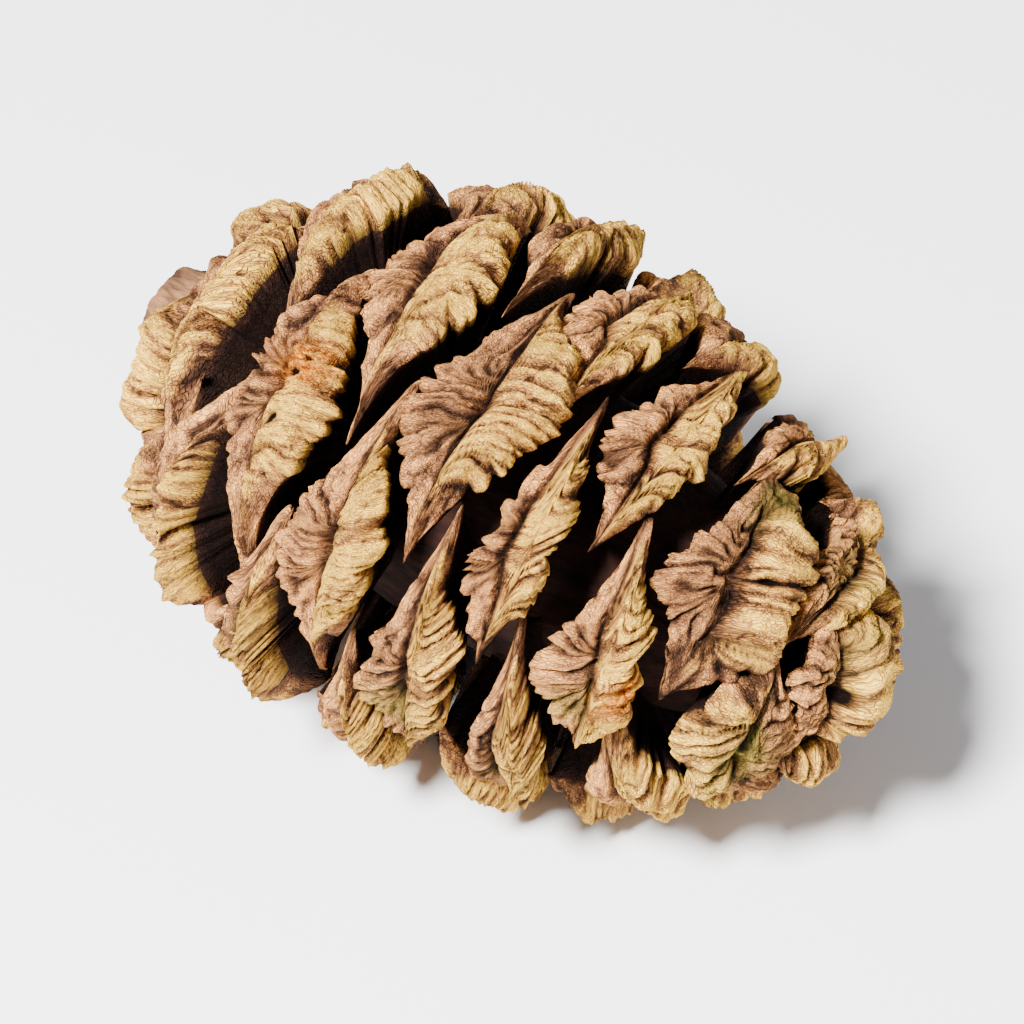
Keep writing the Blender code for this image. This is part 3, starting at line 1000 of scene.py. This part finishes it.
def scale_material(finish: ScaleFinish) -> Material:
    """Dry cone scale: pale lip and brown lower half with painted shade in their creases and a painted
    highlight on their crests, sides darkened as painted shade, and the moss, resin and pits on them.

    Args:
        finish: its colours.

    Returns:
        The material.
    """
    nodes = NodeTree("dry_cone_scale")
    crest, depth = nodes.attribute(Layer.CREST_SHADE), nodes.attribute(Layer.DEPTH)
    grain, place = nodes.attribute(Layer.GRAIN, "Vector"), nodes.coordinates()
    fibres = nodes.grained(grain, (2.1, 0.85, 1.0), 4.0, 0.62, 0.15)
    threads = nodes.grained(grain, (5.0, 1.7, 1.0), 3.0, 0.6)
    pores = nodes.noise(place, 1150.0, 2.0, 0.5)
    mottle = nodes.noise(place, 420.0, 4.0, 0.6)
    blotch = nodes.noise(place, 130.0, 3.0, 0.55)
    speck = nodes.noise(place, 2600.0, 2.0, 0.6)
    cracks = crack_pattern(nodes, grain)
    # crest level: painted shade in the creases, painted highlight on the crests
    level = nodes.math("MULTIPLY", crest, 0.82)
    for value, low, high, start, end in (
        (fibres, 0.3, 0.7, -0.08, 0.22),
        (pores, 0.60, 0.72, 0.0, -0.24),
        (mottle, 0.3, 0.7, -0.09, 0.09),
        (cracks, 0.0, 1.0, -0.09, 0.04),
        (nodes.attribute(Layer.TONE), 0.0, 1.0, -0.05, 0.05),
    ):
        level = nodes.math("ADD", level, nodes.spread(value, low, high, start, end))
    upper = nodes.ramp(level, finish.lip_stops, finish.lip)
    lower = nodes.ramp(level, finish.low_stops, finish.low)
    edge = nodes.math("ADD", nodes.attribute(Layer.LIP), nodes.spread(mottle, 0.3, 0.7, -0.30, 0.30))
    colour = nodes.mix(nodes.spread(edge, 0.25, 0.75), lower, upper)
    colour = nodes.mix(nodes.spread(blotch, 0.48, 0.75, 0.0, 0.20), colour, linear(finish.grey))
    patchy = nodes.spread(mottle, 0.35, 0.6, 0.5, 1.3)
    moss = nodes.math("MULTIPLY", nodes.attribute(Layer.MOSS), patchy)
    moss = nodes.math("MULTIPLY", moss, nodes.spread(crest, 0.3, 1.0, 1.0, 0.55), True)
    # moss is painted darker in creases and lighter on crests, as painted shade and highlight
    colour = nodes.mix(moss, colour, nodes.ramp(crest, (0.2, 0.9), finish.moss))
    patchy = nodes.spread(mottle, 0.4, 0.55, 0.5, 1.5)
    resin = nodes.math("MULTIPLY", nodes.attribute(Layer.RESIN), patchy, True)
    colour = nodes.mix(resin, colour, nodes.ramp(speck, (0.35, 0.6), finish.resin))
    pit = nodes.spread(nodes.attribute(Layer.PIT), 0.25, 0.7)
    colour = nodes.mix(pit, colour, linear(finish.pit))
    # flanks: their own purple-brown, with painted shade in the gaps
    dark = nodes.math("ADD", depth, nodes.spread(fibres, 0.3, 0.7, 0.06, -0.06))
    side = nodes.ramp(dark, finish.side_stops, finish.side)
    colour = nodes.mix(nodes.spread(depth, 0.008, 0.06), colour, side)
    shade = nodes.spread(speck, 0.3, 0.7, 0.84, 1.08)
    grey = nodes.add("ShaderNodeCombineColor", None, {0: shade, 1: shade, 2: shade}).outputs["Color"]
    colour = nodes.mix(1.0, colour, grey, "MULTIPLY")
    relief = fibres
    for value, weight in ((threads, 0.45), (speck, 0.16), (cracks, 0.30)):
        relief = nodes.math("ADD", relief, nodes.math("MULTIPLY", value, weight))
    gloss = nodes.math("MULTIPLY", resin, finish.roughness - finish.resin_roughness)
    roughness = nodes.math("SUBTRACT", finish.roughness, gloss)
    return nodes.surface(colour, roughness, nodes.bump(relief, finish.relief), finish.specular)


def core_material(finish: WoodFinish) -> Material:
    """Woody core, seen only as the dark floor of the gaps."""
    nodes = NodeTree("cone_core_wood")
    fibres = nodes.grained(nodes.coordinates(), (180.0, 900.0, 900.0), 4.0, 0.6)
    colour = nodes.ramp(fibres, (0.3, 0.7), finish.core)
    return nodes.surface(colour, finish.roughness, nodes.bump(fibres, finish.relief), 0.2)


def make_object(name: str, points: Array, faces: Faces, material: Material,
                values: dict[Layer, Array] | None = None) -> bpy.types.Object:
    """Make a smooth mesh object.

    Args:
        name: the piece's name.
        points: its points, in metres.
        faces: its faces, by the numbers of their points.
        material: its finish.
        values: what its points carry for the finish.

    Returns:
        The object, in the scene.
    """
    mesh = bpy.data.meshes.new(name)
    mesh.from_pydata(points.tolist(), [], faces)
    mesh.materials.append(material)
    for layer, rows in (values or {}).items():
        if rows.ndim == 2:
            mesh.attributes.new(layer.value, "FLOAT_VECTOR", "POINT").data.foreach_set("vector", rows.ravel())
        else:
            mesh.attributes.new(layer.value, "FLOAT", "POINT").data.foreach_set("value", rows)
    obj = bpy.data.objects.new(name, mesh)
    bpy.context.scene.collection.objects.link(obj)
    mesh.polygons.foreach_set("use_smooth", [True] * len(mesh.polygons))
    mesh.update()
    return obj


def revolve(first: float, rings: list[tuple[float, Array]], last: float) -> tuple[Array, Faces]:
    """Closed skin round the cone's axis, from the stalk's end towards the tip.

    Args:
        first: x of the closing point before the rings.
        rings: each ring's x, and the radii round it.
        last: x of the closing point after the rings.

    Returns:
        The skin's points in the cone's own frame, and its faces.
    """
    count = len(rings[0][1])
    angle = 2 * math.pi * np.arange(count) / count
    rows = [np.column_stack([np.full(count, x), radii * np.sin(angle), radii * np.cos(angle)])
            for x, radii in rings]
    points = np.concatenate([[[first, 0.0, 0.0]], *rows, [[last, 0.0, 0.0]]])
    return points, ring_faces(count, len(rings))


@dataclass
class Core:
    """The woody middle that the scales grow from."""

    half_length: float = 22.5 * MM
    radius: float = 10.2 * MM
    segments: int = 64
    rings: int = 40
    roughness: float = 0.5 * MM

    def build(self, placement: Placement, noise: SmoothNoise, material: Material) -> bpy.types.Object:
        """Make the core, in its place."""
        angle = 2 * math.pi * np.arange(self.segments) / self.segments
        rings = []
        for ring in range(1, self.rings):
            turned = math.pi * ring / self.rings
            bulge = noise.at(4 * np.cos(angle) + 9, 4 * np.sin(angle) + 0.3 * ring, Sheet.CORE)
            radii = (self.radius + self.roughness * bulge) * math.sin(turned)
            rings.append((-self.half_length * math.cos(turned), radii))
        points, faces = revolve(-self.half_length, rings, self.half_length)
        return make_object("core", placement.lay_down(points), faces, material)


@dataclass
class Stalk:
    """The cut end of the stalk, with bark round it and a slightly domed wood face.

    Attributes:
        profile: x and radius, from the middle of the cut face to the root inside the cone.
    """

    segments: int = 96
    profile: tuple[tuple[float, float], ...] = (
        (-31.15 * MM, 0.35 * MM),
        (-31.1 * MM, 1.4 * MM),
        (-30.95 * MM, 2.6 * MM),
        (-30.85 * MM, 2.95 * MM),
        (-30.8 * MM, 3.3 * MM),
        (-30.4 * MM, 3.5 * MM),
        (-29.0 * MM, 3.55 * MM),
        (-27.6 * MM, 3.9 * MM),
        (-26.4 * MM, 5.4 * MM),
        (-23.6 * MM, 8.2 * MM),
        (-17.0 * MM, 9.6 * MM),
    )
    steps: int = 4
    bark_start: tuple[float, float] = (2.7 * MM, 3.3 * MM)
    bark_ridge: float = 0.28 * MM

    def build(self, placement: Placement, noise: SmoothNoise, material: Material) -> bpy.types.Object:
        """Make the stalk, in its place."""
        angle = 2 * math.pi * np.arange(self.segments) / self.segments
        knots = np.arange(len(self.profile))
        steps = np.linspace(0, knots[-1], self.steps * int(knots[-1]) + 1)
        profile = [np.interp(steps, knots, column) for column in zip(*self.profile)]
        rings = []
        for x, radius in zip(*profile):
            bark = smooth_step(*self.bark_start, np.full(self.segments, radius))
            bumps = noise.at(8 * np.cos(angle) + 20, 8 * np.sin(angle) + x / (1.6 * MM), Sheet.BARK)
            fine = noise.at(19 * np.cos(angle) + 50, 19 * np.sin(angle) + x / (0.7 * MM), Sheet.FINE_BARK)
            rings.append((x, radius + self.bark_ridge * (bumps + 0.5 * fine) * bark))
        points, faces = revolve(rings[0][0], rings, rings[-1][0])
        return make_object("stalk", placement.lay_down(points), faces, material)


def stalk_material(finish: WoodFinish, stalk: Stalk, placement: Placement) -> Material:
    """Stalk: flaky reddish bark round pale cut wood with faint growth rings.

    Args:
        finish: its colours.
        stalk: the stalk, for the middle of its cut face.
        placement: how the cone lies.

    Returns:
        The material.
    """
    nodes = NodeTree("cut_stalk_wood_and_bark")
    place = nodes.coordinates()
    tip = placement.lay_down(np.array([[stalk.profile[0][0], 0.0, 0.0]]))[0]
    centred = nodes.vector("MULTIPLY", nodes.vector("SUBTRACT", place, tuple(tip)), (0.0, 1.0, 1.0))
    reach = nodes.vector("LENGTH", centred, output="Value")
    warp = nodes.noise(place, 500.0, 3.0)
    reach = nodes.math("ADD", reach, nodes.spread(warp, 0.2, 0.8, -0.25 * MM, 0.25 * MM))
    rings = nodes.math("SINE", nodes.math("MULTIPLY", reach, 2 * math.pi / finish.ring_spacing))
    wood = nodes.ramp(nodes.spread(rings, -1.0, 1.0), (0.1, 0.8), finish.cut)
    flakes = nodes.grained(place, (350.0, 1100.0, 1100.0), 4.0, 0.6)
    bark = nodes.ramp(flakes, (0.32, 0.68), finish.bark)
    colour = nodes.mix(nodes.spread(reach, 2.55 * MM, 2.85 * MM), wood, bark)
    relief = nodes.math("ADD", flakes, nodes.math("MULTIPLY", rings, 0.06))
    return nodes.surface(colour, finish.roughness, nodes.bump(relief, finish.relief), 0.25)


@dataclass(frozen=True)
class Lamp:
    """A soft round light that shines at the cone.

    Attributes:
        name: its name.
        turn: how far it stands round from the camera, in radians.
        elevation: how high it stands, in radians.
        distance: how far away it is, in metres.
        size: how wide it is, in metres.
        power: its power in watts.
    """

    name: str
    turn: float
    elevation: float
    distance: float
    size: float
    power: float


LAMPS = (
    Lamp("key", math.radians(-38), math.radians(55), 0.60, 0.15, 20.5),
    Lamp("fill", math.radians(60), math.radians(35), 0.70, 0.60, 0.8),
)


@dataclass
class Studio:
    """Pale floor, soft light and the camera."""

    finish: StudioFinish = field(default_factory=StudioFinish)
    azimuth: float = math.radians(34.2)
    elevation: float = math.radians(45.0)
    distance: float = 0.40
    lens: float = 200.0
    aim: tuple[float, float, float] = (0.0, 0.0, 18.5 * MM)
    clip_start: float = 0.01
    floor_size: float = 3.0
    floor_drop: float = 0.02 * MM

    def direction(self, azimuth: float, elevation: float) -> Vector:
        """Unit vector from the cone towards a place seen at these angles."""
        flat = math.cos(elevation)
        return Vector((math.sin(azimuth) * flat, -math.cos(azimuth) * flat, math.sin(elevation)))

    def build(self) -> None:
        """Set up the floor, the lights, the world and the camera."""
        self._floor()
        for lamp in LAMPS:
            self._light(lamp)
        world = bpy.data.worlds.new("studio")
        world.use_nodes = True
        background = world.node_tree.nodes["Background"]
        background.inputs["Color"].default_value = linear(self.finish.sky)
        background.inputs["Strength"].default_value = self.finish.sky_strength
        bpy.context.scene.world = world
        self._camera()

    def _floor(self) -> None:
        """Lay the floor just below the cone."""
        bpy.ops.mesh.primitive_plane_add(size=self.floor_size, location=(0, 0, -self.floor_drop))
        floor = bpy.context.object
        floor.name = "floor"
        nodes, finish = NodeTree("matt_pale_floor"), self.finish
        matt = nodes.surface(linear(finish.floor), finish.floor_roughness, None, finish.floor_specular)
        floor.data.materials.append(matt)

    def _light(self, lamp: Lamp) -> None:
        """Put up one light."""
        where = Vector(self.aim) + self.direction(self.azimuth + lamp.turn, lamp.elevation) * lamp.distance
        bpy.ops.object.light_add(type="AREA", location=where)
        light = bpy.context.object
        light.name = lamp.name
        light.data.shape = "DISK"
        light.data.size = lamp.size
        light.data.energy = lamp.power
        light.rotation_euler = (where - Vector(self.aim)).to_track_quat("Z", "Y").to_euler()

    def _camera(self) -> None:
        """Put up the camera."""
        away = self.direction(self.azimuth, self.elevation)
        bpy.ops.object.camera_add(location=Vector(self.aim) + away * self.distance)
        camera = bpy.context.object
        camera.rotation_euler = away.to_track_quat("Z", "Y").to_euler()
        camera.data.lens = self.lens
        camera.data.clip_start = self.clip_start
        bpy.context.scene.camera = camera


@dataclass
class SequoiaCone:
    """The whole cone: its scales, core and stalk."""

    egg: Egg = field(default_factory=Egg)
    spiral: Spiral = field(default_factory=Spiral)
    placement: Placement = field(default_factory=Placement)
    shape: HeadShape = field(default_factory=HeadShape)
    sculpt: Sculpt = field(default_factory=Sculpt)
    finish: ScaleFinish = field(default_factory=ScaleFinish)
    wood: WoodFinish = field(default_factory=WoodFinish)
    seed: int = 7

    def patches(self) -> list[Patch]:
        """Lay out the scales' places and outlines."""
        draw = np.random.default_rng(self.seed)
        places, shares = self.spiral.along(self.egg)
        patches = [
            Patch(i, places[i], shares[i], self.egg, self.spiral, self.shape, draw)
            for i in range(self.spiral.count)
        ]
        areas = np.gradient(shares)
        for patch in patches:
            patch.find_neighbours(patches, areas)
        return patches

    def build(self) -> list[bpy.types.Object]:
        """Make all the pieces.

        Returns:
            The pieces.
        """
        noise = SmoothNoise(self.seed)
        material = scale_material(self.finish)
        pieces = []
        for patch in self.patches():
            marks = [mark for mark in MARKS if mark.scale == patch.number]
            points, faces, values = ScaleSculptor(patch, self.sculpt, noise, marks).build(self.placement)
            pieces.append(make_object(f"scale_{patch.number:02d}", points, faces, material, values))
        log.info("scales: %d", len(pieces))
        pieces.append(Core().build(self.placement, noise, core_material(self.wood)))
        stalk = Stalk()
        bark = stalk_material(self.wood, stalk, self.placement)
        pieces.append(stalk.build(self.placement, noise, bark))
        return pieces


def main() -> None:
    """Build the cone on its frame, then the studio."""
    logging.basicConfig(level=logging.INFO, format="%(name)s: %(message)s")
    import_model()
    pieces = SequoiaCone().build()
    for piece in pieces:
        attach(piece, CAD_BODY)
        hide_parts(CAD_NODE)
    triangles = sum(len(face.vertices) - 2 for piece in pieces for face in piece.data.polygons)
    log.info("pieces: %d, triangles: %d", len(pieces), triangles)
    Studio().build()
    log.info("size written")


if __name__ == "__main__":
    main()
